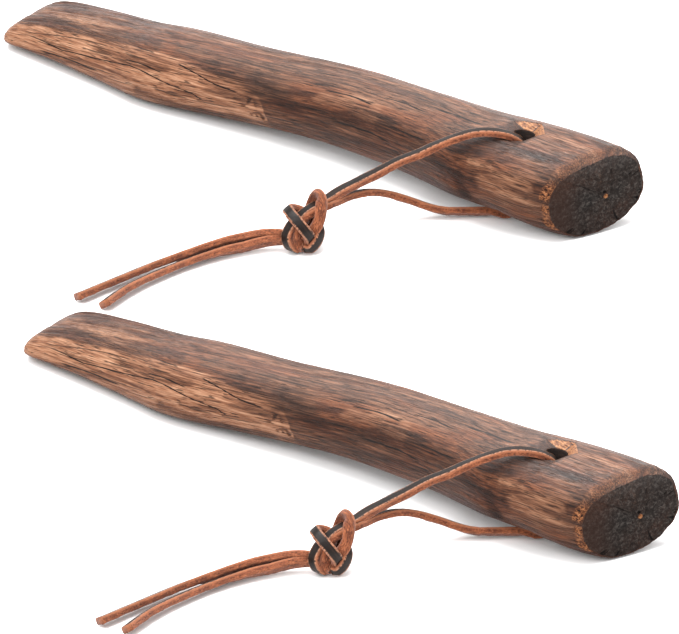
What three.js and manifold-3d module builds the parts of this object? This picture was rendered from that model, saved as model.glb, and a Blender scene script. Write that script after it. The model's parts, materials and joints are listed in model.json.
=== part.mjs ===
// A pair of claves cut from natural branches, each with a knotted leather thong.
// Millimetres. +X runs along the sticks to their butts, +Y goes away, +Z is up, the table is z = 0.
import * as THREE from 'three';
import { mergeVertices } from 'three/addons/utils/BufferGeometryUtils.js';
import Module from 'manifold-3d';

const wasm = await Module();
wasm.setup();

// The front stick lies this far from the rear one.
const FRONT_OFFSET = [168, -183];

// Bore for the thong, near the butt, and the funnels carved at its two mouths.
const BORE_X = 98;
const BORE_Y = -5.5;
const BORE_RADIUS = 4.5;
const FUNNEL_RADIUS = BORE_RADIUS + 2.6;
const FUNNEL_DEPTH = 3;
const FUNNEL_STICKS_OUT = 1.5;
const BORE_SIDES = 24;
const CUT_PAST = 5;

// Round stand-in for the leather lace, and the side of the bore it is pulled against.
const LACE_RADIUS = 1.3;
const LACE_SIDES = 8;
const LACE_STEP = 3.4;
const LACE_OFF_WALL = 0.4;
const LACE_X = BORE_X - BORE_RADIUS + LACE_RADIUS + LACE_OFF_WALL;
const LACE_Y = BORE_Y;
// The lace swings about its upright run; the mouths of the bore are worn clear of it this far.
const NOTCH_GAP = 0.35;
const NOTCH_TURNS = [-11, -7, -3.5, 0];

// One stick, tip to butt: place along it, sideways wander of the pith, half width, half height,
// height of the underside over the table. A small negative lift is planed off flat at the table.
const STATIONS = [
  { along: -129.7, drift: 0.8, wide: 15.0, deep: 2.0, lift: 1.5 },
  { along: -128.7, drift: 0.5, wide: 16.6, deep: 2.6, lift: 1.3 },
  { along: -125.6, drift: 0.2, wide: 17.6, deep: 3.4, lift: 1.1 },
  { along: -118, drift: 0, wide: 18.0, deep: 4.6, lift: 0.7 },
  { along: -98, drift: -1.8, wide: 18.1, deep: 6.8, lift: 0.2 },
  { along: -80, drift: -3.8, wide: 18.0, deep: 8.8, lift: -0.5 },
  { along: -60, drift: -6.8, wide: 17.9, deep: 11.1, lift: -0.5 },
  { along: -35, drift: -5.2, wide: 16.2, deep: 11.3, lift: 0.9 },
  { along: -10, drift: -3.0, wide: 15.4, deep: 11.2, lift: 2.5 },
  { along: 20, drift: -1.6, wide: 15.5, deep: 11.8, lift: 4.1 },
  { along: 50, drift: -2.2, wide: 16.0, deep: 12.4, lift: 4.4 },
  { along: 80, drift: -5.6, wide: 17.5, deep: 13.9, lift: 3.9 },
  { along: 100, drift: -4.6, wide: 18.7, deep: 15.0, lift: 3.2 },
  { along: 114, drift: -1.2, wide: 19.2, deep: 15.7, lift: 0.6 },
  { along: 123.8, drift: 1.4, wide: 18.6, deep: 15.4, lift: -0.4 },
];
const TIP = STATIONS[0].along;
const BUTT = STATIONS[STATIONS.length - 1].along;
const LENGTH = BUTT - TIP;

// Both ends are cut off square: the tip a little one way, the butt more the other way.
const TIP_SKEW = -0.1;
const BUTT_SKEW = 0.33;
const SKEW_REACH = 44;
// Rings of points along the stick: distances from the tip, then distances from the butt with the
// share of the full section there, which rounds the butt's rim.
const TIP_RINGS = [0, 0.5, 1.2, 3, 6, 11, 18];
const BUTT_RINGS = [[10, 1], [5, 1], [2, 1], [0.7, 0.97], [0, 0.91]];
const STICK_STEP = 8;

// Planed flats: the way each one faces, in degrees from +Y towards +Z, and how deep it cuts,
// as a share of the local radius, at places along the stick.
const FLATS = [
  { faces: 103, cuts: [[50, 0], [75, 0.02], [110, 0.035], [124, 0.05]] },
  { faces: 128, cuts: [[-125, 0.06], [-70, 0.09], [-45, 0.05], [-20, 0]] },
];
// The cross-section is boxier in the flattened tip than in the round of the branch.
const TIP_POWER = 2.9;
const ROUND_POWER = 2.3;
const WEDGE_END = -50;
const LEAN = THREE.MathUtils.degToRad(10);
const FLAT_START = 1.03;
const FLAT_BLEND = 22;
const EDGE_ON = 0.1;
const STICK_SIDES = 32;

// Value at x of a smooth curve through [x, value] points.
function smooth(points, x) {
  const last = points.length - 1;
  if (x <= points[0][0]) return points[0][1];
  if (x >= points[last][0]) return points[last][1];
  let i = 0;
  while (points[i + 1][0] < x) i += 1;
  const slope = (k) => {
    const a = points[Math.max(k - 1, 0)];
    const b = points[Math.min(k + 1, last)];
    return (b[1] - a[1]) / (b[0] - a[0]);
  };
  const span = points[i + 1][0] - points[i][0];
  const t = (x - points[i][0]) / span;
  const t2 = t * t;
  const t3 = t2 * t;
  return (2 * t3 - 3 * t2 + 1) * points[i][1] + (t3 - 2 * t2 + t) * span * slope(i)
    + (3 * t2 - 2 * t3) * points[i + 1][1] + (t3 - t2) * span * slope(i + 1);
}

function station(field, x) {
  return smooth(STATIONS.map((s) => [s.along, s[field]]), x);
}

// Distance from the pith to the wood's surface in one direction of the cross-section.
function sectionRadius(x, angle) {
  const wide = station('wide', x);
  const deep = station('deep', x);
  const turned = angle - LEAN * THREE.MathUtils.smoothstep(x, TIP, 0);
  const c = Math.abs(Math.cos(turned) / wide);
  const s = Math.abs(Math.sin(turned) / deep);
  const wedge = 1 - THREE.MathUtils.smoothstep(x, TIP, WEDGE_END);
  const power = ROUND_POWER + (TIP_POWER - ROUND_POWER) * wedge;
  const round = (c ** power + s ** power) ** (-1 / power);
  let sum = round ** -FLAT_BLEND;
  for (const flat of FLATS) {
    const cut = smooth(flat.cuts, x);
    const faces = THREE.MathUtils.degToRad(flat.faces);
    const toward = Math.cos(angle - faces);
    if (cut > 0 && toward > EDGE_ON) {
      const reach = Math.hypot(wide * Math.cos(faces), deep * Math.sin(faces));
      sum += ((reach * (FLAT_START - cut)) / toward) ** -FLAT_BLEND;
    }
  }
  return sum ** (-1 / FLAT_BLEND);
}

// One ring of points round the stick, its lowest point at the station's lift.
function ring(x, shrink) {
  const wide = station('wide', x);
  const deep = station('deep', x);
  const points = [];
  for (let i = 0; i < STICK_SIDES; i += 1) {
    const turn = (i / STICK_SIDES) * 2 * Math.PI;
    const angle = Math.atan2(deep * Math.sin(turn), wide * Math.cos(turn));
    const r = sectionRadius(x, angle) * shrink;
    points.push([r * Math.cos(angle), r * Math.sin(angle)]);
  }
  const rise = deep + station('lift', x);
  const skew = TIP_SKEW * (1 - THREE.MathUtils.smoothstep(x, TIP, TIP + SKEW_REACH))
    + BUTT_SKEW * THREE.MathUtils.smoothstep(x, BUTT - SKEW_REACH, BUTT);
  const drift = station('drift', x);
  return points.map(([y, z]) => [x + skew * y, y + drift, z + rise]);
}

// Closes a stack of rings into one solid with a fan at each end.
function loft(rings) {
  const n = rings[0].length;
  const middle = (r) => [0, 1, 2].map((k) => r.reduce((sum, p) => sum + p[k], 0) / n);
  const points = [...rings.flat(), middle(rings[0]), middle(rings[rings.length - 1])];
  const first = points.length - 2;
  const faces = [];
  for (let i = 0; i < n; i += 1) {
    const j = (i + 1) % n;
    for (let k = 0; k < rings.length - 1; k += 1) {
      const a = k * n;
      const b = a + n;
      faces.push(a + i, a + j, b + j, a + i, b + j, b + i);
    }
    const end = (rings.length - 1) * n;
    faces.push(first, j, i, first + 1, end + i, end + j);
  }
  const geometry = new THREE.BufferGeometry();
  geometry.setAttribute('position', new THREE.Float32BufferAttribute(points.flat(), 3));
  geometry.setIndex(faces);
  return geometry;
}

function toManifold(geometry) {
  const bare = geometry.clone();
  bare.deleteAttribute('normal');
  bare.deleteAttribute('uv');
  const merged = mergeVertices(bare, 1e-4);
  return new wasm.Manifold(new wasm.Mesh({
    numProp: 3,
    vertProperties: new Float32Array(merged.attributes.position.array),
    triVerts: new Uint32Array(merged.index.array),
  }));
}

function toGeometry(manifold) {
  const mesh = manifold.getMesh();
  const geometry = new THREE.BufferGeometry();
  geometry.setAttribute('position', new THREE.BufferAttribute(mesh.vertProperties, 3));
  geometry.setIndex(new THREE.BufferAttribute(mesh.triVerts, 1));
  geometry.computeVertexNormals();
  return geometry;
}

// Upright round cutter for the bore and its funnels.
function cutter(bottomRadius, topRadius, bottom, top) {
  const geometry = new THREE.CylinderGeometry(topRadius, bottomRadius, top - bottom, BORE_SIDES);
  geometry.rotateX(Math.PI / 2);
  geometry.translate(BORE_X, BORE_Y, (bottom + top) / 2);
  return toManifold(geometry);
}

function stick() {
  const rings = TIP_RINGS.map((distance) => ring(TIP + distance, 1));
  const evenStart = TIP + TIP_RINGS[TIP_RINGS.length - 1];
  const evenLength = BUTT - BUTT_RINGS[0][0] - evenStart;
  const steps = Math.ceil(evenLength / STICK_STEP);
  for (let i = 1; i < steps; i += 1) rings.push(ring(evenStart + (evenLength * i) / steps, 1));
  for (const [distance, share] of BUTT_RINGS) rings.push(ring(BUTT - distance, share));
  let solid = toManifold(loft(rings));

  const under = station('lift', BORE_X);
  const top = under + 2 * station('deep', BORE_X);
  const slope = (FUNNEL_RADIUS - BORE_RADIUS) / FUNNEL_DEPTH;
  const wide = FUNNEL_RADIUS + slope * FUNNEL_STICKS_OUT;
  solid = solid.subtract(cutter(BORE_RADIUS, BORE_RADIUS, -CUT_PAST, top + CUT_PAST));
  solid = solid.subtract(cutter(BORE_RADIUS, wide, top - FUNNEL_DEPTH, top + FUNNEL_STICKS_OUT));
  solid = solid.subtract(cutter(wide, BORE_RADIUS, under - FUNNEL_STICKS_OUT, under + FUNNEL_DEPTH));

  for (const turn of NOTCH_TURNS) {
    const worn = lace(LOOP, LACE_RADIUS + NOTCH_GAP);
    worn.translate(-LACE_X, -LACE_Y, 0);
    worn.rotateZ(THREE.MathUtils.degToRad(turn));
    worn.translate(LACE_X, LACE_Y, 0);
    solid = solid.subtract(toManifold(worn));
  }

  const planed = new THREE.BoxGeometry(2 * LENGTH, 2 * LENGTH, CUT_PAST);
  planed.translate(0, 0, -CUT_PAST / 2);
  return toGeometry(solid.subtract(toManifold(planed)));
}

// Centre lines of the lace. The upper run leaves the top of the bore, arches over the side of the
// stick and comes down to the knot; the lower run leaves the underside and rises to meet it.
const LOOP = [
  [58.2, -65.1, 15.1], [59.4, -59, 16.6], [60.8, -49.4, 17.9], [63.3, -41.9, 19.6],
  [66.8, -35.8, 22.2], [71.2, -30.6, 24.6], [75.8, -25.8, 27.6], [81, -21.6, 30.6],
  [85.8, -17, 32.6], [90.8, -12.8, 33.5], [94, -9.2, 32.8], [LACE_X, LACE_Y - 0.5, 29.5],
  [LACE_X, LACE_Y, 18], [LACE_X, LACE_Y, 5.6], [94.7, -6.6, 2.7], [92.6, -9.4, 1.7],
  [88, -14.2, 1.6], [82, -18.2, 1.6], [77, -22, 2.2], [71.9, -26.4, 4.3], [67.5, -31.5, 7.3],
  [63.7, -37.3, 10.3], [61.3, -44.7, 12.8], [59.4, -52.8, 13.5], [57.9, -63.8, 12.3],
];
const TAIL_UP = [
  [50.4, -77.2, 6.9], [40.4, -87.1, 4.2], [33.8, -99.9, 2.6], [29.5, -115.4, 1.7],
  [27.4, -133.5, 1.7], [25.5, -153.4, 1.7],
];
const TAIL_DOWN = [
  [51.8, -77.4, 4.3], [42.6, -89.4, 2], [37.1, -103.8, 1.7], [34.5, -121.3, 1.7],
  [34.7, -142, 1.7], [36.3, -152.3, 1.7],
];
// The knot stands on edge, facing a viewer in front and to the right.
const KNOT_CENTRE = [56.2, -72.2, 10.5];
const KNOT_HALF = [7.8, 5.4, 10.2];
const KNOT_TURN = THREE.MathUtils.degToRad(40);
const KNOT_TILT = THREE.MathUtils.degToRad(-25);
const KNOT_SEGMENTS = [16, 12];

function lace(points, radius = LACE_RADIUS) {
  const curve = new THREE.CatmullRomCurve3(points.map((p) => new THREE.Vector3(...p)));
  const steps = Math.round(curve.getLength() / LACE_STEP);
  const outline = new THREE.Shape();
  for (let i = 0; i < LACE_SIDES; i += 1) {
    const angle = (i / LACE_SIDES) * 2 * Math.PI;
    const x = radius * Math.cos(angle);
    const y = radius * Math.sin(angle);
    if (i === 0) outline.moveTo(x, y);
    else outline.lineTo(x, y);
  }
  return new THREE.ExtrudeGeometry(outline, { steps, extrudePath: curve, bevelEnabled: false });
}

function knot() {
  const geometry = new THREE.SphereGeometry(1, ...KNOT_SEGMENTS);
  geometry.scale(...KNOT_HALF);
  geometry.rotateX(KNOT_TILT);
  geometry.rotateZ(KNOT_TURN);
  geometry.translate(...KNOT_CENTRE);
  return geometry;
}

const pair = new THREE.Group();
pair.name = 'claves';
const shared = stick();
const box = new THREE.Box3().setFromBufferAttribute(shared.attributes.position);
const centreX = (box.min.x + box.max.x + FRONT_OFFSET[0]) / 2;
const centreY = (box.min.y + box.max.y + FRONT_OFFSET[1]) / 2;

function add(name, geometry, place, look) {
  const material = new THREE.MeshStandardMaterial(look);
  const mesh = new THREE.Mesh(geometry.clone().translate(...place), material);
  mesh.name = name;
  pair.add(mesh);
}

const WOOD = { color: 0x6f4a36, roughness: 0.6 };
const LEATHER = { color: 0x8a4a2a, roughness: 0.8 };
for (const [side, offset] of [['rear', [0, 0]], ['front', FRONT_OFFSET]]) {
  const place = [offset[0] - centreX, offset[1] - centreY, 0];
  add(`${side}_stick`, shared, place, WOOD);
  add(`${side}_thong_loop`, lace(LOOP), place, LEATHER);
  add(`${side}_thong_knot`, knot(), place, LEATHER);
  add(`${side}_thong_long_tail`, lace(TAIL_UP), place, LEATHER);
  add(`${side}_thong_short_tail`, lace(TAIL_DOWN), place, LEATHER);
}

export default pair;
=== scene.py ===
"""A pair of claves: two hand-cut branch sticks, each with a leather thong knotted through its bore.

Lengths are in millimetres in each stick's own coordinates, as the CAD source has them, until the
meshes are made, which are in metres. A stick lies along +X with its butt at the high end.
"""

import json
import math

import bpy
import numpy as np
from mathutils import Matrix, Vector
from mathutils.bvhtree import BVHTree


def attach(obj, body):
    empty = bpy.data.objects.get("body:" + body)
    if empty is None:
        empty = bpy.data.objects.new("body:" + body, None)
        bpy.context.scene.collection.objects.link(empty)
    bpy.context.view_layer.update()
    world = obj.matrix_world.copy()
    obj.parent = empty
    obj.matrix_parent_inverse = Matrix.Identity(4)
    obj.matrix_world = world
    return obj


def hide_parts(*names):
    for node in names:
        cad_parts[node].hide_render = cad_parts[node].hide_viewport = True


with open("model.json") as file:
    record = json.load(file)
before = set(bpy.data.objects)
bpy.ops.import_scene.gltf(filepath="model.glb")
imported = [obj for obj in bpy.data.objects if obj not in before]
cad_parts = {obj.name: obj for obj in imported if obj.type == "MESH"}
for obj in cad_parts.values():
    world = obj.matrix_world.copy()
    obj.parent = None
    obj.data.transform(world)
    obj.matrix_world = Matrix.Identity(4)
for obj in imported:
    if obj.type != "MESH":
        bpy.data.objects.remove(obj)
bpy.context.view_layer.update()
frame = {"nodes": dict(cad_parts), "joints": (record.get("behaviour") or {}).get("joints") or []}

MM = 0.001
SIDES = ("rear", "front")

# In a stick's own coordinates: the thong's upright run, which its joint is on, and the CAD's bore.
LACE_AT = np.array([95.2, -5.5, 0.0])
BORE_AT = np.array([98.0, -5.5])
HINGES = {j["child"]: np.array(j["pos_m"]) for j in frame["joints"] if "pos_m" in j}
ORIGIN = {side: HINGES[f"{side}_thong"] / MM - LACE_AT for side in SIDES}


def unit(v):
    return v / np.linalg.norm(v, axis=-1, keepdims=True)


# ---------------------------------------------------------------- camera

# It looks at AIM, measured from the rear stick's origin, where its field is FIELD_WIDTH across.
AZIMUTH = math.radians(40.4)
ELEVATION = math.radians(25.5)
RIGHT = np.array([math.cos(AZIMUTH), math.sin(AZIMUTH), 0.0])
TOWARD = np.array([math.sin(AZIMUTH) * math.cos(ELEVATION),
                   -math.cos(AZIMUTH) * math.cos(ELEVATION), math.sin(ELEVATION)])
UP = np.cross(TOWARD, RIGHT)
LENS = 1500.0
SENSOR = 36.0
FIELD_WIDTH = 228.6
AIM = np.array([98.5, -103.2, -1.2])
CLIP_END_M = 100


def make_camera():
    camera = bpy.data.objects.new("camera", bpy.data.cameras.new("camera"))
    camera.data.lens = LENS
    camera.data.sensor_width = SENSOR
    camera.data.clip_end = CLIP_END_M
    distance = FIELD_WIDTH * LENS / SENSOR
    camera.location = (ORIGIN["rear"] + AIM + TOWARD * distance) * MM
    camera.rotation_mode = "QUATERNION"
    camera.rotation_quaternion = Vector(-TOWARD).to_track_quat("-Z", "Y")
    bpy.context.scene.collection.objects.link(camera)
    bpy.context.scene.camera = camera


# ---------------------------------------------------------------- numbers on curves and grids

def spline(knots, values, at):
    """Smooth curve through values at the knots, read at other places."""
    knots, values = np.asarray(knots, float), np.asarray(values, float)
    slope = np.gradient(values, knots, axis=0)
    i = np.clip(np.searchsorted(knots, at, side="right") - 1, 0, len(knots) - 2)
    span = knots[i + 1] - knots[i]
    t = (np.clip(at, knots[0], knots[-1]) - knots[i]) / span
    if values.ndim > 1:
        span, t = span[:, None], t[:, None]
    t2, t3 = t * t, t * t * t
    return ((2 * t3 - 3 * t2 + 1) * values[i] + (t3 - 2 * t2 + t) * span * slope[i]
            + (3 * t2 - 2 * t3) * values[i + 1] + (t3 - t2) * span * slope[i + 1])


def smoothstep(low, high, x):
    t = np.clip((x - low) / (high - low), 0, 1)
    return t * t * (3 - 2 * t)


def blur(field, rows, columns):
    """Gaussian blur of a grid that wraps round its columns and mirrors at its end rows."""
    n = len(field)
    tall = np.concatenate([field, field[::-1]])
    along = np.fft.fftfreq(2 * n)[:, None] * rows
    around = np.fft.fftfreq(field.shape[1])[None, :] * columns
    gain = np.exp(-2 * math.pi ** 2 * (along ** 2 + around ** 2))
    return np.fft.ifft2(np.fft.fft2(tall) * gain).real[:n]


def noise(rng, shape, rows, columns):
    """Smooth random field of unit spread, its features about rows by columns in size."""
    field = blur(rng.standard_normal(shape), rows, columns)
    return (field - field.mean()) / field.std()


# ---------------------------------------------------------------- meshes and materials

def tube_faces(rows, columns):
    """Quads of a tube of rings, then its two ends, wound so that they face outwards."""
    i, j = np.meshgrid(np.arange(rows - 1), np.arange(columns), indexing="ij")
    k = (j + 1) % columns
    a, b = i * columns, (i + 1) * columns
    quads = np.stack([a + j, a + k, b + k, b + j], axis=-1).reshape(-1, 4)
    last = (rows - 1) * columns
    return [*quads, range(columns)[::-1], range(last, last + columns)]


def make_mesh(name, points, faces, materials, slots=None):
    mesh = bpy.data.meshes.new(name)
    mesh.from_pydata([tuple(p) for p in points], [], [tuple(f) for f in faces])
    for material in materials:
        mesh.materials.append(material)
    if slots is not None:
        mesh.polygons.foreach_set("material_index", slots)
    mesh.polygons.foreach_set("use_smooth", [True] * len(mesh.polygons))
    mesh.validate()
    mesh.update()
    return mesh


def set_attribute(mesh, name, values):
    values = np.asarray(values, np.float32)
    if values.ndim == 2:
        attribute = mesh.attributes.new(name, "FLOAT_VECTOR", "POINT")
        attribute.data.foreach_set("vector", values.ravel())
    else:
        attribute = mesh.attributes.new(name, "FLOAT", "POINT")
        attribute.data.foreach_set("value", values)


def make_piece(name, mesh, body, at=(0, 0, 0)):
    piece = bpy.data.objects.new(name, mesh)
    piece.location = at
    bpy.context.scene.collection.objects.link(piece)
    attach(piece, body)
    return piece


class Shader:
    """A material's node tree, with short calls for the nodes used here."""

    def __init__(self, name):
        self.material = bpy.data.materials.new(name)
        self.material.use_nodes = True
        self.tree = self.material.node_tree
        self.surface = self.tree.nodes["Principled BSDF"]

    def node(self, kind, inputs=(), **settings):
        node = self.tree.nodes.new(kind)
        for key, value in settings.items():
            setattr(node, key, value)
        for key, value in dict(inputs).items():
            self.put(node.inputs[key], value)
        return node

    def put(self, socket, value):
        if isinstance(value, bpy.types.NodeSocket):
            self.tree.links.new(value, socket)
        else:
            socket.default_value = value

    def attribute(self, name, vector=False):
        node = self.node("ShaderNodeAttribute", attribute_name=name)
        return node.outputs["Vector" if vector else "Fac"]

    def part(self, vector, axis):
        return self.node("ShaderNodeSeparateXYZ", {0: vector}).outputs[axis]

    def scaled(self, vector, scale):
        node = self.node("ShaderNodeVectorMath", {0: vector, 1: scale}, operation="MULTIPLY")
        return node.outputs["Vector"]

    def noise(self, vector, scale, detail=3.0, rough=0.55, warp=0.0):
        node = self.node("ShaderNodeTexNoise", {"Vector": vector, "Scale": scale, "Detail": detail,
                                                "Roughness": rough, "Distortion": warp})
        return node.outputs["Fac"]

    def math(self, operation, a, b=0.0, clamp=False):
        node = self.node("ShaderNodeMath", {0: a, 1: b}, operation=operation, use_clamp=clamp)
        return node.outputs[0]

    def span(self, value, low, high, to_low=0.0, to_high=1.0, smooth=True):
        kind = "SMOOTHSTEP" if smooth else "LINEAR"
        node = self.node("ShaderNodeMapRange", {"Value": value, "From Min": low, "From Max": high,
                                                "To Min": to_low, "To Max": to_high},
                         interpolation_type=kind)
        return node.outputs["Result"]

    def mix(self, share, a, b, blend="MIX"):
        # Sockets 6, 7 and 2 are this node's colour ones.
        node = self.node("ShaderNodeMix", data_type="RGBA", blend_type=blend)
        self.put(node.inputs[0], share)
        self.put(node.inputs[6], a)
        self.put(node.inputs[7], b)
        return node.outputs[2]

    def ramp(self, value, stops):
        node = self.node("ShaderNodeValToRGB", {"Fac": value})
        ramp = node.color_ramp
        while len(ramp.elements) < len(stops):
            ramp.elements.new(1.0)
        for element, (place, colour) in zip(ramp.elements, stops):
            element.position = place
            element.color = colour
        return node.outputs["Color"]

    def bump(self, height, distance, strength=1.0):
        node = self.node("ShaderNodeBump", {"Height": height, "Distance": distance,
                                            "Strength": strength})
        self.put(self.surface.inputs["Normal"], node.outputs["Normal"])


def colour(red, green, blue):
    """A screen colour, 0 to 255, as the shader's linear one."""
    return tuple(((c / 255 + 0.055) / 1.055) ** 2.4 for c in (red, green, blue)) + (1.0,)


# ---------------------------------------------------------------- leather

LACE_WIDTH = 4.0
LACE_THICK = 2.4
LACE_STEP = 0.5
CORNER = 0.42
CROWN = 0.07
SIZE_WAVER = 0.03
FINE_NAP, BROAD_NAP = 0.045, 0.05
GRAIN_NAP_SHARE = 0.25
# The least gap under the lace's shape before its nap is raised, and under any point of it.
FLOOR_GAP = 0.15
LEAST_HEIGHT = 0.02


def lace_section():
    """Points round the lace: how far across, how far through, and what is there: 1 on the two
    cut edges beside the grain face, 0.4 on those beside the flesh face."""
    half_across, half_through = LACE_WIDTH / 2, LACE_THICK / 2
    points = []
    for sign_across, sign_through, start in ((1, 1, 0), (-1, 1, 90), (-1, -1, 180), (1, -1, 270)):
        cut = 1.0 if sign_through > 0 else 0.4
        for step in range(3):
            angle = math.radians(start + 45 * step)
            points.append((sign_across * (half_across - CORNER) + CORNER * math.cos(angle),
                           sign_through * (half_through - CORNER) + CORNER * math.sin(angle), cut))
        if start in (0, 180):
            crown = CROWN * sign_through
            for share in (0.5, 0.0, -0.5):
                across = share * (half_across - CORNER) * (1 if start == 0 else -1)
                points.append((across, sign_through * half_through + crown, 0.0))
        else:
            points.append((-half_across if start == 90 else half_across, 0.0, 0.0))
    return points


def follow(points, normals):
    """Even steps along a smooth line: places, directions, and the lace's grain-side normals."""
    points, normals = np.array(points, float), unit(np.array(normals, float))
    knots = np.concatenate([[0], np.cumsum(np.linalg.norm(np.diff(points, axis=0), axis=1))])
    fine = np.linspace(0, knots[-1], 4000)
    dense = spline(knots, points, fine)
    run = np.concatenate([[0], np.cumsum(np.linalg.norm(np.diff(dense, axis=0), axis=1))])
    at = np.interp(np.linspace(0, run[-1], int(run[-1] / LACE_STEP) + 1), run, fine)
    line = spline(knots, points, at)
    tangent = unit(np.gradient(line, axis=0))
    normal = spline(knots, normals, at)
    normal = unit(normal - (normal * tangent).sum(1, keepdims=True) * tangent)
    return line, tangent, normal, run[-1]


def ribbon_mesh(name, points, normals, seed, materials):
    """A flat leather lace along a line, cut square at its ends, and the line it follows."""
    rng = np.random.default_rng(seed)
    line, tangent, normal, length = follow(points, normals)
    across = np.cross(tangent, normal)
    reach = abs(across[:, 2]) * LACE_WIDTH / 2 + abs(normal[:, 2]) * LACE_THICK / 2
    line[:, 2] = np.maximum(line[:, 2], reach + FLOOR_GAP)
    section = np.array(lace_section())
    n, m = len(line), len(section)
    waver = noise(rng, (n, 4), 14, 0.1)
    wide = 1 + SIZE_WAVER * waver[:, 0]
    thick = 1 + SIZE_WAVER * waver[:, 1]
    nap = noise(rng, (n, m), 1.0, 0.5) * FINE_NAP + noise(rng, (n, m), 3.0, 0.9) * BROAD_NAP
    suede = section[:, 1] < LACE_THICK / 2 - CORNER
    outward = unit(section[:, :2] / [LACE_WIDTH, LACE_THICK])
    shift = nap * np.where(suede, 1.0, GRAIN_NAP_SHARE)
    a = section[None, :, 0] * wide[:, None] + outward[None, :, 0] * shift
    b = section[None, :, 1] * thick[:, None] + outward[None, :, 1] * shift
    places = line[:, None] + a[..., None] * across[:, None] + b[..., None] * normal[:, None]
    places[..., 2] = np.maximum(places[..., 2], LEAST_HEIGHT)
    k = (np.arange(m) + 1) % m
    middle = (section[:, 1] + section[k, 1]) / 2
    grain_side = middle > LACE_THICK / 2 - CORNER * 0.6
    slots = list(np.tile(np.where(grain_side, 0, 1), n - 1)) + [1, 1]
    mesh = make_mesh(name, places.reshape(-1, 3) * MM, tube_faces(n, m), materials, slots)
    along = np.repeat(np.arange(n) * LACE_STEP, m)
    set_attribute(mesh, "lace", np.stack([along, np.tile(section[:, 0], n),
                                          np.tile(section[:, 1], n)], axis=1))
    set_attribute(mesh, "edge", np.tile(section[:, 2], n))
    return mesh, line, length


def leather_materials():
    """The dyed grain face, and the undyed flesh face and cut sides, of one lace."""
    made = []
    grain = Shader("thong_grain")
    lace = grain.attribute("lace", vector=True)
    creases = grain.noise(grain.scaled(lace, (0.9, 2.2, 2.2)), 1.0, 4.0, 0.6)
    worn = grain.noise(grain.scaled(lace, (0.10, 0.5, 0.5)), 1.0, 3.0, 0.6)
    body = grain.mix(grain.span(worn, 0.35, 0.7), colour(22, 14, 11), colour(38, 26, 21))
    body = grain.mix(grain.span(creases, 0.3, 0.62, 0.55, 0.0), body, colour(11, 8, 7))
    edge = grain.span(grain.attribute("edge"), 0.55, 1.0)
    ragged = grain.span(grain.noise(grain.scaled(lace, (1.4, 0.6, 0.6)), 1.0, 2.0), 0.3, 0.6)
    body = grain.mix(grain.math("MULTIPLY", edge, ragged), body, colour(150, 104, 80))
    grain.put(grain.surface.inputs["Base Color"], body)
    grain.put(grain.surface.inputs["Roughness"], grain.span(worn, 0.3, 0.7, 0.28, 0.46))
    grain.surface.inputs["Specular IOR Level"].default_value = 0.15
    grain.bump(creases, 0.00012, 0.7)
    made.append(grain.material)

    suede = Shader("thong_suede")
    lace = suede.attribute("lace", vector=True)
    fibre = suede.noise(suede.scaled(lace, (1.0, 3.0, 3.0)), 1.0, 4.0, 0.7, 0.4)
    mottle = suede.noise(suede.scaled(lace, (0.22, 0.5, 0.5)), 1.0, 3.0, 0.6)
    body = suede.mix(suede.span(mottle, 0.32, 0.68), colour(96, 48, 29), colour(138, 77, 48))
    body = suede.mix(suede.span(fibre, 0.38, 0.56, 0.85, 0.0), body, colour(46, 22, 13))
    body = suede.mix(suede.span(fibre, 0.56, 0.70, 0.0, 0.6), body, colour(184, 122, 86))
    edge = suede.span(suede.attribute("edge"), 0.1, 1.0, 0.0, 0.55)
    body = suede.mix(edge, body, colour(160, 102, 72))
    suede.put(suede.surface.inputs["Base Color"], body)
    suede.surface.inputs["Roughness"].default_value = 0.88
    suede.surface.inputs["Specular IOR Level"].default_value = 0.2
    suede.surface.inputs["Sheen Weight"].default_value = 0.12
    suede.surface.inputs["Sheen Roughness"].default_value = 0.5
    suede.bump(fibre, 0.0003, 0.9)
    made.append(suede.material)
    return made


# The thong leaves the top of the bore, arches over the stick's side and comes down to the knot;
# its other half leaves the underside and rises to it. Each half is one ribbon, from the middle of
# the bore to its cut end. A stop is a place on the way and the side that the grain face looks to.
SKY = (0.0, 0.0, 1.0)
UPPER_LEG = [
    ((96.0, -5.5, 18.0), (-0.77, 0.64, 0.0)), ((96.5, -6.1, 24.0), (-0.1, 1.0, 0.0)),
    ((97.6, -7.0, 28.8), (0.64, 0.77, 0.1)), ((95.4, -10.2, 31.9), (0.4, 0.5, 0.75)),
    ((91.8, -13.5, 33.3), (0.1, 0.1, 1.0)), ((85.8, -17.4, 32.8), SKY), ((81.0, -21.6, 30.9), SKY),
    ((75.8, -25.8, 27.9), SKY), ((71.2, -30.6, 24.9), SKY), ((66.8, -35.8, 22.5), SKY),
    ((63.3, -41.9, 19.8), SKY), ((60.8, -49.4, 18.0), SKY), ((59.4, -59.0, 16.8), SKY),
]
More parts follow.
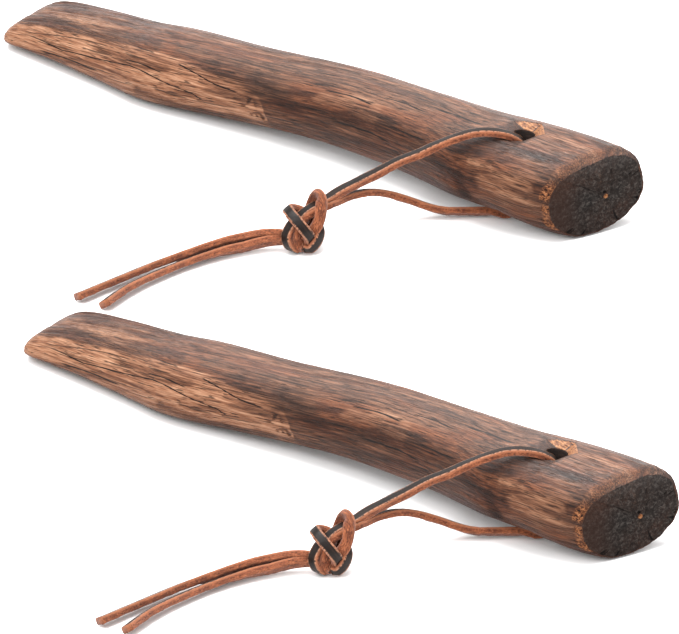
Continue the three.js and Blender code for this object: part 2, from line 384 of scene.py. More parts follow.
# Looks on the camera's axes. With the first the lace shows its cut side under a line of grain, with
# the others its cut side and its flesh face.
FLAT_SIDE = tuple(UP + 0.1 * TOWARD)
TURNED = tuple(0.89 * UP - 0.45 * TOWARD)
TURNED_LESS = tuple(0.97 * UP - 0.2 * TOWARD)
LOWER_LEG = [
    ((96.0, -5.5, 18.0), (-0.77, 0.64, 0.0)), ((96.0, -5.5, 12.0), (-1.0, -0.2, 0.0)),
    ((95.4, -5.6, 5.6), (-0.67, -0.74, 0.1)), ((94.7, -6.6, 2.7), (-0.45, -0.6, 0.7)),
    ((92.4, -8.6, 1.7), (-0.1, -0.1, 1.0)), ((87.4, -12.9, 1.8), TURNED_LESS),
    ((81.8, -17.6, 1.9), TURNED_LESS), ((77.0, -22.0, 2.4), TURNED_LESS),
    ((71.9, -26.4, 4.3), FLAT_SIDE),
    ((67.5, -31.5, 7.3), FLAT_SIDE), ((63.7, -37.3, 10.3), FLAT_SIDE),
    ((61.3, -44.7, 12.8), FLAT_SIDE), ((59.4, -52.8, 13.5), FLAT_SIDE),
]
LONG_TAIL = [((50.4, -77.2, 5.5), TURNED), ((40.4, -87.1, 4.4), TURNED),
             ((33.8, -99.9, 2.8), TURNED), ((29.5, -115.4, 1.8), TURNED_LESS),
             ((27.4, -133.5, 1.8), TURNED_LESS), ((25.5, -153.4, 1.8), TURNED_LESS)]
SHORT_TAIL = [((51.8, -77.4, 3.9), TURNED), ((42.6, -89.4, 2.4), TURNED),
              ((37.1, -103.8, 1.8), TURNED_LESS), ((34.5, -121.3, 1.8), TURNED_LESS),
              ((34.7, -142.0, 1.8), TURNED), ((36.3, -152.3, 1.8), TURNED)]

# Inside the knot, stops are across, up and out from its middle, on the axes of its broad face.
KNOT_AT = np.array([56.2, -72.2, 10.5])
KNOT_AXES = np.array([RIGHT, UP, TOWARD])
KNOT_SIZE = 0.95
UPPER_KNOT = [
    ((8.0, 7.2, -3.0), (0, 1, 0.45)), ((4.3, 5.2, -2.0), (-0.3, 1, 0.7)),
    ((1.0, 3.2, -1.0), (-0.6, 1, 0.8)), ((-2.0, 0.5, -0.2), (-0.7, 0.7, 1)),
    ((-4.7, -2.5, 1.0), (-0.8, 0.3, 1)), ((-6.0, -5.8, 1.2), (-0.9, -0.1, 0.9)),
    ((-4.7, -9.2, 0.0), (-0.7, -0.9, 0.5)), ((-2.3, -9.6, -3.0), (-0.2, -1, -0.4)),
    ((-0.7, -5.5, -4.9), (0, -0.3, -1)), ((1.0, -0.5, -5.2), (0, 0, -1)),
    ((3.0, 6.0, -4.6), (0.3, 0.2, -1)), ((4.9, 9.4, -1.5), (0.6, 0.7, -0.5)),
    ((6.2, 8.4, 2.2), (0.9, 0.4, -0.6)), ((6.3, 4.6, 3.4), (0.35, 0, -1)),
    ((5.6, 0.5, 3.2), (0.1, 0.1, -1)), ((3.8, -3.2, 1.8), (-0.1, 0.4, -1)),
    ((0.2, -6.0, -0.4), (-0.5, 0.9, -0.6)), ((-4.0, -5.2, -1.8), (-0.2, 1, -0.1)),
]
LOWER_KNOT = [
    ((8.0, 5.2, -2.5), (-0.1, 1, 0.1)), ((2.3, 2.0, -0.8), (-0.5, 0.8, 0.0)),
    ((-0.7, -1.5, 0.0), (-0.8, 0.2, -0.5)), ((-2.0, -5.5, 1.0), (-0.6, 0, -1)),
    ((-1.3, -9.3, -0.3), (-0.1, 1, -0.5)), ((1.7, -9.9, 0.4), (-0.2, -1, 0.5)),
    ((4.3, -7.6, 0.8), (0.6, -0.6, 0.8)), ((5.6, -3.8, 0.0), (0.9, 0.1, 0.7)),
    ((3.6, 0.5, -2.9), (0.6, 0.8, 0.2)), ((-1.7, 3.6, -4.3), (-0.2, 1, -0.6)),
    ((-5.2, 4.2, -1.8), (-0.7, 0.7, 0.2)), ((-4.6, 2.4, 2.6), (-0.3, 0.6, 0.8)),
    ((-1.7, -0.8, 4.4), (-0.1, 0.1, 1)), ((0.8, -3.9, 4.3), (0.1, -0.1, 1)),
    ((2.1, -6.0, 2.4), (0.8, -0.7, 0.6)), ((0.0, -7.2, -1.0), (0.3, 0.2, -1)),
    ((-4.2, -7.0, -2.0), (0, 0.9, -0.3)),
]


def out_of_knot(stops):
    places = [tuple(KNOT_AT + KNOT_SIZE * np.array(place) @ KNOT_AXES) for place, _ in stops]
    looks = [tuple(np.array(look, float) @ KNOT_AXES) for _, look in stops]
    return list(zip(places, looks))


# Each half's name, its stops, the height at which it leaves the bore, and the CAD nodes it replaces.
THONG_HALVES = [
    ("upper_lace", UPPER_LEG + out_of_knot(UPPER_KNOT) + LONG_TAIL, 34.0,
     ("thong_long_tail", "thong_loop")),
    ("lower_lace", LOWER_LEG + out_of_knot(LOWER_KNOT) + SHORT_TAIL, 3.0,
     ("thong_short_tail", "thong_knot")),
]


def make_thongs():
    materials = leather_materials()
    for seed, (part, stops, mouth, nodes) in enumerate(THONG_HALVES):
        for side in SIDES:
            places = [np.array(place) + ORIGIN[side] for place, _ in stops]
            looks = [look for _, look in stops]
            name = f"{side}_{part}"
            mesh, line, length = ribbon_mesh(name, places, looks, 10 + seed, materials)
            piece = make_piece(name, mesh, f"{side}_thong")
            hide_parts(*[f"{side}_{node}" for node in nodes])
            leaves = (LACE_AT + ORIGIN[side]) * MM
            leaves[2] = mouth * MM


# ---------------------------------------------------------------- wood

TIP_SKEW = -0.1
BUTT_SKEW = 0.33
SKEW_REACH = 44.0
ROWS = 520
COLUMNS = 256
TURN = np.arange(COLUMNS) / COLUMNS * 2 * math.pi
# The CAD's points part into rings at gaps along it, and a ring has so many points and is so wide.
RING_GAP = 0.12
RING_POINTS = 20
RING_WIDTH = 20.0
END_MARGINS = (0.02, 1.7)
LEVEL_ROUNDS = 12
# A ray is cast for one in so many rows and columns, and the blurs fill in and smooth what they read.
CAST_EVERY = 2
FILL_BLUR = (14, 12)
SKIN_BLUR = (5, 3.2)
# The bore's mouths, and the way in which the lace has worn them, are left out of the sampling.
WEAR = np.array([10.0, 8.5])
BORE_KEEP_OFF = 9.5


def skew(x, tip, butt):
    """How far the cuts across the stick lean, from the tip's cut to the butt's."""
    return (TIP_SKEW * (1 - smoothstep(tip, tip + SKEW_REACH, x))
            + BUTT_SKEW * smoothstep(butt - SKEW_REACH, butt, x))


def sample_stick(node, origin):
    """Reads the CAD stick as rings: places along it, each ring's middle and half sizes, and how
    far the wood stands out from that ellipse in each direction."""
    points = np.array([v.co for v in node.data.vertices]) / MM - origin
    tip = (points[:, 0] - TIP_SKEW * points[:, 1]).min()
    butt = (points[:, 0] - BUTT_SKEW * points[:, 1]).max()
    level = points[:, 0].copy()
    for _ in range(LEVEL_ROUNDS):
        level = points[:, 0] - skew(level, tip, butt) * points[:, 1]
    order = np.argsort(level)
    groups = np.split(order, np.where(np.diff(level[order]) > RING_GAP)[0] + 1)
    rings = [g for g in groups if len(g) >= RING_POINTS and np.ptp(points[g, 1]) > RING_WIDTH]
    at = np.array([level[g].mean() for g in rings])
    ends = {}
    for name, axis in (("y", 1), ("z", 2)):
        low = np.array([points[g, axis].min() for g in rings])
        high = np.array([points[g, axis].max() for g in rings])
        ends[name] = ((low + high) / 2, (high - low) / 2)
    tree = BVHTree.FromPolygons([tuple(p) for p in points],
                                [tuple(f.vertices) for f in node.data.polygons])
    along = np.linspace(at[0] + END_MARGINS[0], at[-1] - END_MARGINS[1], ROWS)
    middle = np.stack([spline(at, ends["y"][0], along), spline(at, ends["z"][0], along)], axis=1)
    half = np.stack([spline(at, ends["y"][1], along), spline(at, ends["z"][1], along)], axis=1)
    half = np.maximum(half, 1.0)
    lean = skew(along, tip, butt)
    factor = np.ones((ROWS, COLUMNS))
    sure = np.ones((ROWS, COLUMNS))
    for i in range(0, ROWS, CAST_EVERY):
        heart = Vector((along[i] + lean[i] * middle[i, 0], *middle[i]))
        for j in range(0, COLUMNS, CAST_EVERY):
            y, z = half[i, 0] * math.cos(TURN[j]), half[i, 1] * math.sin(TURN[j])
            out = Vector((lean[i] * y, y, z))
            hit = tree.ray_cast(heart + out * 3, -out)[0]
            if hit is None:
                hit = heart + out
            reach = (hit - heart).length / out.length
            spot = np.array([hit.x, hit.y])
            share = np.clip((BORE_AT - spot) @ WEAR / (WEAR @ WEAR), 0, 1)
            near = np.linalg.norm(spot - (BORE_AT - share * WEAR)) < BORE_KEEP_OFF
            factor[i:i + CAST_EVERY, j:j + CAST_EVERY] = reach
            sure[i:i + CAST_EVERY, j:j + CAST_EVERY] = 0.0 if near else 1.0
    wide = blur(factor * sure, *FILL_BLUR) / np.maximum(blur(sure, *FILL_BLUR), 1e-4)
    factor = np.where(sure > 0, factor, wide)
    factor = blur(factor, *SKIN_BLUR)
    return {"tip": tip, "butt": butt, "along": along, "middle": middle, "half": half,
            "lean": lean, "factor": factor}


def body_points(s):
    y = s["half"][:, :1] * np.cos(TURN) * s["factor"]
    z = s["half"][:, 1:] * np.sin(TURN) * s["factor"]
    y = y + s["middle"][:, :1]
    z = z + s["middle"][:, 1:]
    x = s["along"][:, None] + s["lean"][:, None] * y
    return np.stack([x, y, z], axis=-1)


def normals_of(points):
    along = np.gradient(points, axis=0)
    around = np.roll(points, -1, axis=1) - np.roll(points, 1, axis=1)
    return unit(np.cross(around, along))


def line_distance(place, route):
    """Distance on the unrolled skin, in millimetres, from each point to a route of
    (along, arc) stops, how far down the route the nearest place is, 0 to 1, and on which side
    of it the point lies, -1 or 1."""
    route = np.array(route, float)
    best = np.full(place.shape[:-1], 1e9)
    share = np.zeros(place.shape[:-1])
    side = np.ones(place.shape[:-1])
    for k in range(len(route) - 1):
        a, b = route[k], route[k + 1]
        t = np.clip(((place - a) @ (b - a)) / ((b - a) @ (b - a)), 0, 1)
        d = np.linalg.norm(place - a - t[..., None] * (b - a), axis=-1)
        cross = (b - a)[0] * (place - a)[..., 1] - (b - a)[1] * (place - a)[..., 0]
        share = np.where(d < best, (k + t) / (len(route) - 1), share)
        side = np.where(d < best, np.where(cross < 0, -1.0, 1.0), side)
        best = np.minimum(best, d)
    return best, share, side


# Marks on the wood. A stop is millimetres along the stick and degrees round it, from the far side
# over the top (90) to the near side (180). A crack, band or streak is a route of such stops, its
# half width and its strength; LENS_TOP is the upper edge of the pale patch.
LENS_TOP = [(-133, 118), (-126, 120), (-105, 127), (-86, 126), (-65, 124), (-47, 129), (-31, 141),
            (-17, 153), (-9, 171), (-4, 200), (-6, 235)]
CRACKS = [
    ([(-129, 172), (-99, 166), (-76, 161), (-65, 158), (-49, 172), (-37, 183), (-31, 195)], 0.26, 0.42),
    ([(-48, 136), (-39, 146), (-29, 158), (-18, 164)], 0.26, 0.45),
    ([(-122, 149), (-103, 136), (-89, 134), (-77, 134)], 0.26, 0.22),
    ([(-70, 150), (-58, 152), (-50, 158)], 0.3, 0.3),
    ([(-112, 186), (-92, 184), (-78, 188)], 0.3, 0.3),
    ([(12, 128), (24, 126), (36, 129)], 0.35, 0.35),
    ([(36, 112), (47, 110), (57, 113)], 0.35, 0.35),
    ([(45, 150), (58, 152), (66, 150)], 0.3, 0.3),
    ([(58, 100), (70, 98), (84, 101)], 0.35, 0.35),
    ([(20, 172), (38, 170), (50, 174)], 0.3, 0.3),
]
DARK_BANDS_AND_SHADE = [
    ([(-16, 132), (-12, 141), (-5, 152), (2, 163), (11, 167), (24, 165), (42, 165), (62, 163),
      (76, 172)], 3.2, 0.5),
    ([(22, 157), (41, 153), (52, 160), (66, 162)], 3.0, 0.55),
    # This band is partly a dark streak in the wood and partly painted shade under the thong's upper
    # leg.
    ([(78, 140), (86, 132), (92, 128), (98, 124)], 3.4, 0.9),
    ([(80, 178), (85, 190), (86, 205), (84, 220)], 3.2, 0.9),
    ([(-125, 106), (-100, 112), (-80, 108), (-60, 112)], 2.2, 0.45),
    ([(-85, 150), (-72, 148), (-62, 150), (-50, 150)], 2.6, 0.5),
    ([(-60, 205), (-45, 210), (-30, 212), (-16, 214)], 2.2, 0.55),
    ([(90, 134), (104, 129), (117, 122)], 5.0, 0.85),
]
BURL = [(-14, 181), (-12, 190), (-10, 206)]
PALE_STREAKS_AND_HIGHLIGHT = [
    ([(88, 158), (97, 157), (106, 163), (116, 166)], 2.4, 0.8),
    ([(96, 182), (108, 186), (120, 188)], 3.4, 0.9),
    ([(14, 142), (26, 140), (38, 142)], 2.6, 0.5),
    ([(100, 92), (110, 88), (121, 90)], 3.2, 0.45),
    ([(-26, 150), (-20, 160), (-16, 168)], 2.0, 0.5),
    # Painted highlight: a broad pale patch along the top near the tip.
    ([(-130, 88), (-112, 92), (-90, 98)], 7.0, 0.8),
    ([(-70, 174), (-55, 190), (-40, 200), (-26, 198)], 3.6, 0.7),
]
RIM_WIDTH = 2.6
SPLIT_REACH = 6.0
# The skin's unevenness, from broad swells to fine grain: height, and features' rows by columns.
SKIN_WAVES = [(0.20, (26, 12)), (0.07, (30, 2.4)), (0.045, (14, 1.1)), (0.02, (3, 0.8))]
# How deep each mark is cut into the skin.
GROOVE_DEPTH = 0.30
BURL_DEPTH = 0.12
BAND_DEPTH = 0.14
TORN_DEPTH = 0.25


def arc_place(s, points):
    """Unrolled coordinates: along the stick, and arc length round it from the far side."""
    steps = np.linalg.norm(np.roll(points, -1, axis=1) - points, axis=-1)
    arc = np.concatenate([np.zeros((ROWS, 1)), np.cumsum(steps, axis=1)[:, :-1]], axis=1)
    return np.stack([np.broadcast_to(s["along"][:, None], arc.shape), arc], axis=-1)


def unrolled(s, place, route):
    """A route of (along, degrees) stops in the coordinates of arc_place."""
    stops = []
    for x, degrees in route:
        row = int(np.clip(np.searchsorted(s["along"], x), 0, ROWS - 1))
        stops.append((x, np.interp(degrees, np.degrees(TURN), place[row, :, 1])))
    return stops


# The mouth of the bore is opened out with a knife. Each cut starts at a line on the skin, given by
# two places on it, and slopes down towards the bore at so many millimetres a millimetre. The first
# two are fresh and pale; the rest are darkened, as the thong's wear and as painted shade under it.
MOUTH_CUTS = [
    ((90.3, -2.6), (98.6, 3.0), 0.95), ((98.6, 3.0), (105.0, -3.6), 0.8),
    ((105.0, -3.6), (100.5, -13.5), 0.7), ((100.5, -13.5), (88.0, -13.5), 0.45),
    ((88.0, -13.5), (90.3, -2.6), 0.5),
]
MOUTH_DEPTH = 2.4


def mouth_cuts(place, upper):
    """How deep the mouth is cut at each place, where it's pale, and where it's darkened, as wear and as
    painted shade.
    """
    depths = []
    for start, end, slope in MOUTH_CUTS:
        start, end = np.array(start), np.array(end)
        inward = unit(np.array([end[1] - start[1], start[0] - end[0]]))
        depths.append(slope * ((place - start) @ inward))
    depths = np.array(depths)
    deep = depths.min(axis=0) * upper
    which = depths.argmin(axis=0)
    cut = np.clip(deep, 0, MOUTH_DEPTH)
    knife = ((which < 2) & (deep > 0.1) & (deep < MOUTH_DEPTH + 0.8)).astype(float)
    knife = knife * smoothstep(0.1, 0.4, np.abs(depths[0] - depths[1]))
    return cut, knife, smoothstep(-0.9, 0.6, deep) * upper


def weather(s, points):
    """How pale, dark, split, torn or knife-cut each point of the skin is, and how far it is raised
    or cut in. Char and checks are marks of the sawn ends, and are nothing here."""
    rng = np.random.default_rng(4)
    shape = (ROWS, COLUMNS)
    place = arc_place(s, points)
    degrees = np.degrees(TURN)[None, :]
    along = s["along"][:, None]
    ragged = noise(rng, shape, 8, 2.0)

    edge = spline([x for x, _ in LENS_TOP], [a for _, a in LENS_TOP], s["along"])[:, None]
    lens = smoothstep(-2.5, 2.5, degrees - edge + 1.2 * ragged)
    lens = lens * smoothstep(-4, -9, along + 2.0 * noise(rng, shape, 4, 4))
    lens = lens * (1 - 0.6 * smoothstep(195, 225, degrees))

    dark = np.zeros(shape)
    for route, width, depth in DARK_BANDS_AND_SHADE:
        d = line_distance(place, unrolled(s, place, route))[0]
        dark = np.maximum(dark, depth * (1 - smoothstep(0.2, 1.1, d / width + 0.28 * ragged)))
    d = line_distance(place, unrolled(s, place, BURL))[0]
    speckle = noise(rng, shape, 1.3, 1.6)
    burl = (1 - smoothstep(1.5, 4.5, d)) * smoothstep(-0.2, 0.9, speckle)
    dark = np.maximum(dark, 0.95 * burl)
    dark = np.maximum(dark, 0.25 * smoothstep(0.9, 2.0, noise(rng, shape, 18, 5)) * (1 - lens))

    # Pale streaks of the wood, and a painted highlight on the top near the tip.
    light = np.zeros(shape)
    for route, width, depth in PALE_STREAKS_AND_HIGHLIGHT:
        d = line_distance(place, unrolled(s, place, route))[0]
        light = np.maximum(light, depth * (1 - smoothstep(0.2, 1.1, d / width + 0.3 * ragged)))

    # A split is kept as its signed distance in half widths, which stays sharp between points.
    split = np.full(shape, SPLIT_REACH)
    gape = np.zeros(shape)
    for route, width, depth in CRACKS:
        d, share, way = line_distance(place, unrolled(s, place, route))
        near = d < np.abs(split) * width
        taper = smoothstep(0, 0.15, share) * smoothstep(1, 0.85, share)
        split = np.where(near, way * d / width, split)
        gape = np.where(near, taper * (1 - smoothstep(1.3, 2.0, d)) * depth, gape)
    groove = gape * (1 - smoothstep(0.4, 1.8, np.abs(split) * 0.3))

    upper = points[..., 2] > 15
    rim = (s["butt"] - along) + 0.35 * noise(rng, shape, 1.2, 3)
    torn = 1 - smoothstep(RIM_WIDTH * 0.7, RIM_WIDTH * 1.15, rim)
    torn = torn * np.maximum(smoothstep(140, 158, degrees) * smoothstep(232, 214, degrees),
                             0.42 * smoothstep(52, 70, degrees) * smoothstep(152, 140, degrees))
    scorch = (1 - smoothstep(0, 9, s["butt"] - along + 2.2 * ragged)) * 0.5
    scorch = scorch * smoothstep(150, 100, np.abs(degrees - 120))
    dark = np.maximum(dark, scorch * (1 - torn))
    cut, knife, worn = mouth_cuts(points[..., :2], upper)
    # Painted shade and the thong's wear: the bore's mouth is darkened where the lace lies in it.
    dark = np.maximum(dark, 0.75 * worn * (1 - knife))

    lift = sum(height * noise(rng, shape, *size) for height, size in SKIN_WAVES)
    lift = lift - GROOVE_DEPTH * groove - BURL_DEPTH * burl
    lift = lift - BAND_DEPTH * dark * (0.6 + 0.4 * ragged) * (1 - worn)
    lift = lift * (1 - upper * smoothstep(0.1, 0.6, cut)) - cut
    lift = lift - TORN_DEPTH * torn * (0.6 + 0.5 * speckle)
    lift = lift * smoothstep(0, 3, along - s["along"][0] + 0.6)
    marks = {"tan": lens, "dark": dark, "light": light, "split": split, "gape": gape,
             "torn": torn, "knife": knife, "char": np.zeros(shape), "check": np.zeros(shape)}
    return lift, marks


# The butt's rim is rounded off unevenly, the tip's evenly: degrees round it, and how far in its face
# starts. The butt's pith stays pale, and beside it is a small pit, coloured dark as painted shadow.
RIM_INSET = [(-60, 0.8), (0, 1.3), (40, 1.6), (70, 2.6), (100, 3.4), (130, 3.2), (155, 1.7),
             (180, 0.8), (240, 0.6), (300, 0.8), (360, 1.3)]
TIP_INSET = [(-60, 0.9), (360, 0.9)]
TIP_CHAR = 0.45
RIM_REACH = (0.7, 1.7)
RIM_STEPS = np.radians([30, 52, 70, 83, 90])
CAP_SHARES = np.linspace(1, 0.012, 44)
# A cut face has its own of the first marks, and where it is charred it has none of the second.
CUT_MARKS = ("char", "check", "knife")
SIDE_MARKS = ("gape", "dark", "torn")
# The saw's lines lie across SAW_AXIS, SAW_TURN radians of ripple to a millimetre.
SAW_AXIS = np.array([0.0, 0.82, 0.57])
SAW_TURN = 5.2
SAW_DEPTH = 0.035
CHECK_DEPTH = 0.3
PIT_DEPTH = 0.5
PITH_AT = np.array([4.9, 13.1])
PIT_OFFSET = np.array([-0.4, 1.5])


def cap_rings(s, points, end):
    """Closes one end: rounded rim rings, then rings shrinking to the pith of the cut face, with
    saw marks and radial checks cut into it. Returns them with their marks."""
    rng = np.random.default_rng(7 + end)
    row = -1 if end else 0
    sign = 1.0 if end else -1.0
    lean = s["lean"][row]
    ring = points[row]
    heart = PITH_AT if end else s["middle"][row]
    middle = np.array([s["along"][row] + lean * heart[0], *heart])
    outward = unit(np.array([sign, -sign * lean, 0.0]))
    offset = ring - middle
    radius = np.linalg.norm(offset[:, 1:], axis=1)
    stops = np.array(RIM_INSET if end else TIP_INSET, float)
    inset = spline(stops[:, 0], stops[:, 1], np.degrees(TURN))
    made, marks = [], []
    for angle in RIM_STEPS:
        share = 1 - inset * (1 - math.cos(angle)) / radius
        beyond = sign * RIM_REACH[end] * math.sin(angle)
        made.append(middle + offset * share[:, None] + [beyond, 0, 0])
        marks.append({name: np.zeros(COLUMNS) for name in CUT_MARKS})
    face_offset = offset * (1 - inset / radius)[:, None]
    face_middle = middle + [sign * RIM_REACH[end], 0, 0]
    shape = (len(CAP_SHARES), COLUMNS)
    rays = noise(rng, shape, 7, 0.9)
    rough = noise(rng, shape, 1.2, 2.2)
    blotch = noise(rng, shape, 9, 22)
    for k, share in enumerate(CAP_SHARES):
        face = face_middle + face_offset * share
        place = face[:, 1:] - heart
        saw = np.sin((face @ SAW_AXIS) * SAW_TURN + 2 * rough[k]) * SAW_DEPTH
        check = smoothstep(1.3, 2.1, rays[k]) * smoothstep(0.1, 0.35, share)
        pit = (1 - smoothstep(0.4, 0.9, np.linalg.norm(place - PIT_OFFSET, axis=1))) * end
        fade = smoothstep(1.0, 0.95, share) * (1.0 if end else 0.3)
        push = (saw - CHECK_DEPTH * check - PIT_DEPTH * pit + 0.05 * rough[k]) * fade
        made.append(face + outward * push[:, None])
        char = np.clip(0.93 + 0.05 * blotch[k], 0.8, 1.0)
        core = (1 - smoothstep(0.6, 1.0, np.linalg.norm(place, axis=1))) * end
        char = char * (1 - core) if end else np.full(COLUMNS, TIP_CHAR)
        # The pit is coloured dark through the check mark: painted shadow in it.
        marks.append({"char": char, "check": np.maximum(0.8 * check, pit) * (1 - core),
                      "knife": core})
    return made, marks


def stick_mesh(s, materials):
    points = body_points(s)
    points[..., 2] = np.maximum(points[..., 2], 0.0)
    normal = normals_of(points)
    lift, marks = weather(s, points)
    raised = points + lift[..., None] * normal
    raised[..., 2] = np.maximum(raised[..., 2], 0.0)
    tip_rings, tip_marks = cap_rings(s, raised, 0)
    butt_rings, butt_marks = cap_rings(s, raised, 1)
    rings = np.concatenate([np.array(tip_rings[::-1]), raised, np.array(butt_rings)])
    rings[..., 2] = np.maximum(rings[..., 2], 0.0)
    before, after = len(tip_rings), len(butt_rings)

    middle = np.concatenate([np.repeat(s["middle"][:1], before, 0), s["middle"],
                             np.repeat(s["middle"][-1:], after, 0)])
    grain = rings.copy()
    grain[..., 1:] -= middle[:, None, :]

    count = len(rings)
    mesh = make_mesh("stick", rings.reshape(-1, 3) * MM, tube_faces(count, COLUMNS), materials)
    set_attribute(mesh, "grain", grain.reshape(-1, 3))
    full = {name: np.concatenate([np.repeat(field[:1], before, 0), field,
                                  np.repeat(field[-1:], after, 0)])
            for name, field in marks.items()}
    caps = ((range(before), tip_marks[::-1]), (range(count - after, count), butt_marks))
    for rows, ends in caps:
        for row, mark in zip(rows, ends):
            for name in CUT_MARKS:
                full[name][row] = mark[name]
            if mark["char"].any():
                for name in SIDE_MARKS:
                    full[name][row] = 0
    for name, field in full.items():
        set_attribute(mesh, name, field.ravel())
    return mesh


# The bore that shows is drilled close round the lace, narrower than the CAD's.
BORE_RADIUS = 3.8
BORE_WAVER = 0.06
DRILL_AT = np.array([97.4, -5.6])
DRILL_FROM, DRILL_TO = -6, 42


def cut_bore(piece, material):
    """Drills the bore through the skin, its wall slightly uneven as a hand drill leaves it."""
    rng = np.random.default_rng(21)
    rows, columns = 60, 64
    turn = np.arange(columns) / columns * 2 * math.pi
    z = np.linspace(DRILL_FROM, DRILL_TO, rows)
    radius = BORE_RADIUS + BORE_WAVER * noise(rng, (rows, columns), 1.2, 3.0)
    x = DRILL_AT[0] + radius * np.cos(turn)
    y = DRILL_AT[1] + radius * np.sin(turn)
    points = np.stack([x, y, np.broadcast_to(z[:, None], x.shape)], axis=-1)
    mesh = make_mesh("drill", points.reshape(-1, 3) * MM, tube_faces(rows, columns), [material])
    drill = bpy.data.objects.new("drill", mesh)
    drill.location = piece.location
    bpy.context.scene.collection.objects.link(drill)
    modifier = piece.modifiers.new("bore", "BOOLEAN")
    modifier.operation = "DIFFERENCE"
    modifier.solver = "EXACT"
    modifier.material_mode = "TRANSFER"
    modifier.object = drill
    bpy.context.view_layer.update()
    made = bpy.data.meshes.new_from_object(piece.evaluated_get(
        bpy.context.evaluated_depsgraph_get()))
    piece.modifiers.clear()
    piece.data = made
    bpy.data.objects.remove(drill)


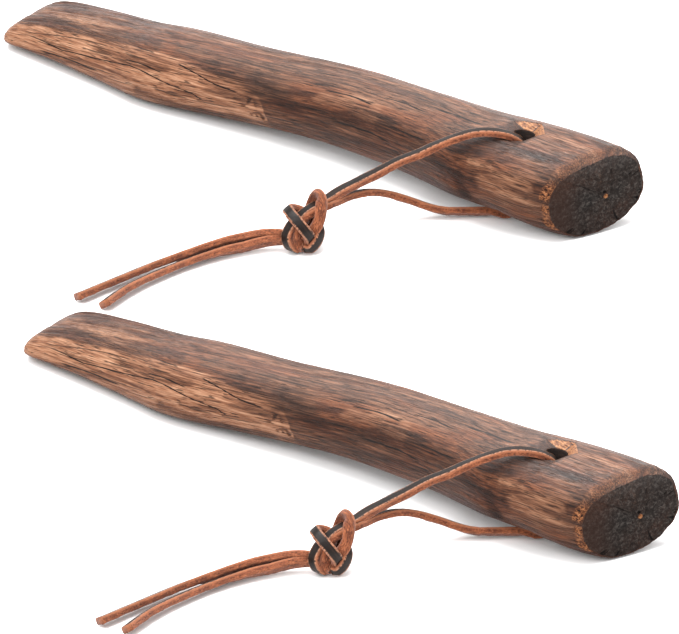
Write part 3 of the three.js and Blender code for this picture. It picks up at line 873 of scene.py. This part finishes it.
def wood_material():
    wood = Shader("branch_wood")
    grain = wood.attribute("grain", vector=True)
    marks = {name: wood.attribute(name)
             for name in ("tan", "light", "split") + SIDE_MARKS + CUT_MARKS}
    streak = wood.noise(wood.scaled(grain, (0.06, 1.9, 1.9)), 1.0, 3.0, 0.72, 0.2)
    fine = wood.noise(wood.scaled(grain, (0.14, 3.3, 3.3)), 1.0, 2.0, 0.6, 0.1)
    band = wood.noise(wood.scaled(grain, (0.016, 0.36, 0.36)), 1.0, 3.0, 0.55, 0.4)
    patch = wood.noise(wood.scaled(grain, (0.03, 0.13, 0.13)), 1.0, 3.0, 0.6, 0.6)
    pore = wood.noise(wood.scaled(grain, (0.16, 2.2, 2.2)), 1.0, 1.0, 0.5, 0.0)
    vein = wood.noise(wood.scaled(grain, (0.055, 1.1, 1.1)), 1.0, 1.0, 0.5, 0.15)

    tone = wood.math("ADD", wood.math("MULTIPLY", streak, 0.45), wood.math("MULTIPLY", band, 0.30))
    tone = wood.math("ADD", tone, wood.math("MULTIPLY", fine, 0.25))
    tone = wood.math("SUBTRACT", tone, wood.math("MULTIPLY", marks["dark"], 0.09))
    plain = wood.ramp(tone, [(0.34, colour(26, 17, 13)), (0.44, colour(62, 41, 32)),
                             (0.51, colour(96, 66, 50)), (0.60, colour(140, 99, 76))])
    pale = wood.ramp(tone, [(0.34, colour(68, 43, 32)), (0.44, colour(134, 92, 69)),
                            (0.51, colour(174, 129, 101)), (0.61, colour(220, 180, 150))])
    red = wood.ramp(tone, [(0.34, colour(38, 20, 13)), (0.48, colour(92, 52, 34)),
                           (0.60, colour(140, 86, 57))])
    body = wood.mix(wood.span(patch, 0.42, 0.60, 0.0, 0.6), plain, red)
    lens = wood.math("MULTIPLY", marks["tan"], wood.span(band, 0.36, 0.52, 0.35, 0.95))
    body = wood.mix(lens, body, pale)
    # Pale streaks, and the painted highlight on the top near the tip.
    body = wood.mix(wood.math("MULTIPLY", marks["light"], 0.7), body, pale)
    # Dark bands and marks of the wood, among them painted shade under the thong and in the bore's
    # mouth.
    body = wood.mix(wood.math("MULTIPLY", marks["dark"], 0.35), body, colour(40, 24, 17))
    body = wood.mix(wood.span(vein, 0.66, 0.72, 0.0, 0.65), body, colour(24, 14, 10))
    body = wood.mix(wood.span(pore, 0.60, 0.67, 0.0, 0.75), body, colour(24, 14, 10))
    wobble = wood.math("MULTIPLY", wood.math("SUBTRACT", streak, 0.5), 3.0)
    away = wood.math("ABSOLUTE", wood.math("ADD", marks["split"], wobble))
    line = wood.math("MULTIPLY", wood.span(away, 0.5, 1.0, 1.0, 0.0),
                     wood.span(marks["gape"], 0.0, 0.35))
    body = wood.mix(line, body, colour(20, 11, 8))

    # Painted shade: the wood's colour is darkened and dulled towards its underside.
    level = wood.part(grain, 2)
    painted_shade = wood.ramp(wood.span(level, -9.0, 12.0, smooth=False),
                      [(0.0, (0.40, 0.33, 0.30, 1)), (0.45, (0.45, 0.38, 0.34, 1)),
                       (0.80, (0.56, 0.50, 0.46, 1)), (1.0, (0.92, 0.90, 0.88, 1))])
    body = wood.mix(1.0, body, painted_shade, "MULTIPLY")

    fibre = wood.noise(wood.scaled(grain, (1.1, 1.7, 1.7)), 1.0, 4.0, 0.7, 0.4)
    torn = wood.ramp(fibre, [(0.42, colour(18, 10, 7)), (0.49, colour(84, 48, 29)),
                             (0.56, colour(112, 70, 44)), (0.66, colour(148, 98, 64))])
    body = wood.mix(wood.span(wood.math("ADD", marks["torn"], fibre), 0.75, 1.3), body, torn)
    knife = wood.ramp(streak, [(0.36, colour(74, 40, 23)), (0.50, colour(128, 80, 48)),
                               (0.62, colour(176, 124, 82))])
    body = wood.mix(wood.span(marks["knife"], 0.3, 0.7), body, knife)
    cinder = wood.noise(wood.scaled(grain, (0.6, 0.9, 0.9)), 1.0, 6.0, 0.75, 0.5)
    soot = wood.ramp(cinder, [(0.34, colour(15, 13, 12)), (0.50, colour(34, 30, 28)),
                              (0.66, colour(68, 63, 60))])
    umber = wood.span(wood.part(grain, 1), -3.0, -13.0, 0.0, 0.55)
    soot = wood.mix(umber, soot, colour(48, 30, 23))
    body = wood.mix(marks["char"], body, soot)
    body = wood.mix(wood.span(marks["check"], 0.2, 0.8, 0.0, 0.9), body, colour(8, 6, 6))
    wood.put(wood.surface.inputs["Base Color"], body)
    rough = wood.span(streak, 0.35, 0.65, 0.48, 0.34, smooth=False)
    rough = wood.math("ADD", rough, wood.math("MULTIPLY", marks["char"], 0.3))
    rough = wood.math("ADD", rough, wood.math("MULTIPLY", marks["torn"], 0.3), clamp=True)
    wood.put(wood.surface.inputs["Roughness"], rough)
    polish = wood.span(level, 5.0, 14.5, 0.10, 0.48)
    polish = wood.math("MULTIPLY", polish, wood.span(marks["char"], 0.0, 1.0, 1.0, 0.5))
    wood.put(wood.surface.inputs["Specular IOR Level"], polish)
    height = wood.math("ADD", streak, wood.math("MULTIPLY", fine, 0.6))
    height = wood.math("SUBTRACT", height, wood.span(pore, 0.62, 0.70, 0.0, 0.35))
    height = wood.math("SUBTRACT", height, wood.span(vein, 0.65, 0.73, 0.0, 0.35))
    height = wood.math("SUBTRACT", height, wood.math("MULTIPLY", line, 0.5))
    wood.bump(height, 0.00035, 0.9)
    return wood.material


def bore_material():
    wood = Shader("bore_wood")
    place = wood.node("ShaderNodeTexCoord").outputs["Object"]
    rings = wood.noise(wood.scaled(place, (300.0, 900.0, 2400.0)), 1.0, 4.0, 0.6)
    body = wood.mix(wood.span(rings, 0.35, 0.65), colour(16, 9, 6), colour(44, 26, 17))
    wood.put(wood.surface.inputs["Base Color"], body)
    wood.surface.inputs["Roughness"].default_value = 0.8
    wood.bump(rings, 0.0002, 0.8)
    return wood.material


def make_sticks():
    material, wall = wood_material(), bore_material()
    sampled = sample_stick(frame["nodes"]["rear_stick"], ORIGIN["rear"])
    first = bpy.data.objects.new("rear_stick_wood", stick_mesh(sampled, [material]))
    bpy.context.scene.collection.objects.link(first)
    cut_bore(first, wall)
    mesh = first.data
    bpy.data.objects.remove(first)
    for side in SIDES:
        own = mesh if side == "rear" else mesh.copy()
        piece = make_piece(f"{side}_stick_wood", own, f"{side}_stick",
                           at=ORIGIN[side] * MM)
        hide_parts(f"{side}_stick")


# ---------------------------------------------------------------- floor and light

# Lengths are in metres here, and powers in watts.
FLOOR_REACH = 4.0
FLOOR_DROP = 0.0004
FLOOR_WHITE = (0.93, 0.93, 0.93, 1)
WORLD_STRENGTH = 1.45


def make_floor():
    corners = [(x * FLOOR_REACH, y * FLOOR_REACH, 0) for x, y in ((-1, -1), (1, -1), (1, 1), (-1, 1))]
    mesh = make_mesh("floor", corners, [(0, 1, 2, 3)], [])
    floor = bpy.data.objects.new("floor", mesh)
    floor.location = (0, 0, -FLOOR_DROP)
    pale = Shader("floor_paper")
    pale.surface.inputs["Base Color"].default_value = FLOOR_WHITE
    pale.surface.inputs["Roughness"].default_value = 0.9
    pale.surface.inputs["Specular IOR Level"].default_value = 0.0
    mesh.materials.append(pale.material)
    bpy.context.scene.collection.objects.link(floor)


def soft_light(name, direction, distance, size, power):
    """A round lamp so far off in a direction, facing the middle of the scene."""
    light = bpy.data.lights.new(name, "AREA")
    light.shape = "DISK"
    light.size = size
    light.energy = power
    lamp = bpy.data.objects.new(name, light)
    away = Vector(unit(np.array(direction, float)))
    lamp.location = away * distance
    lamp.rotation_mode = "QUATERNION"
    lamp.rotation_quaternion = away.to_track_quat("Z", "Y")
    bpy.context.scene.collection.objects.link(lamp)


def make_light():
    world = bpy.data.worlds.new("studio")
    world.use_nodes = True
    background = world.node_tree.nodes["Background"]
    background.inputs["Color"].default_value = (1, 1, 1, 1)
    background.inputs["Strength"].default_value = WORLD_STRENGTH
    bpy.context.scene.world = world
    soft_light("top_softbox", (-0.1, -0.05, 1.0), distance=1.6, size=1.4, power=40)
    soft_light("key_softbox", TOWARD + 0.5 * UP - 0.5 * RIGHT, distance=1.8, size=0.9, power=14)
    scene = bpy.context.scene
    scene.view_settings.view_transform = "Standard"
    scene.view_settings.look = "None"


make_camera()
make_thongs()
make_sticks()
make_floor()
make_light()
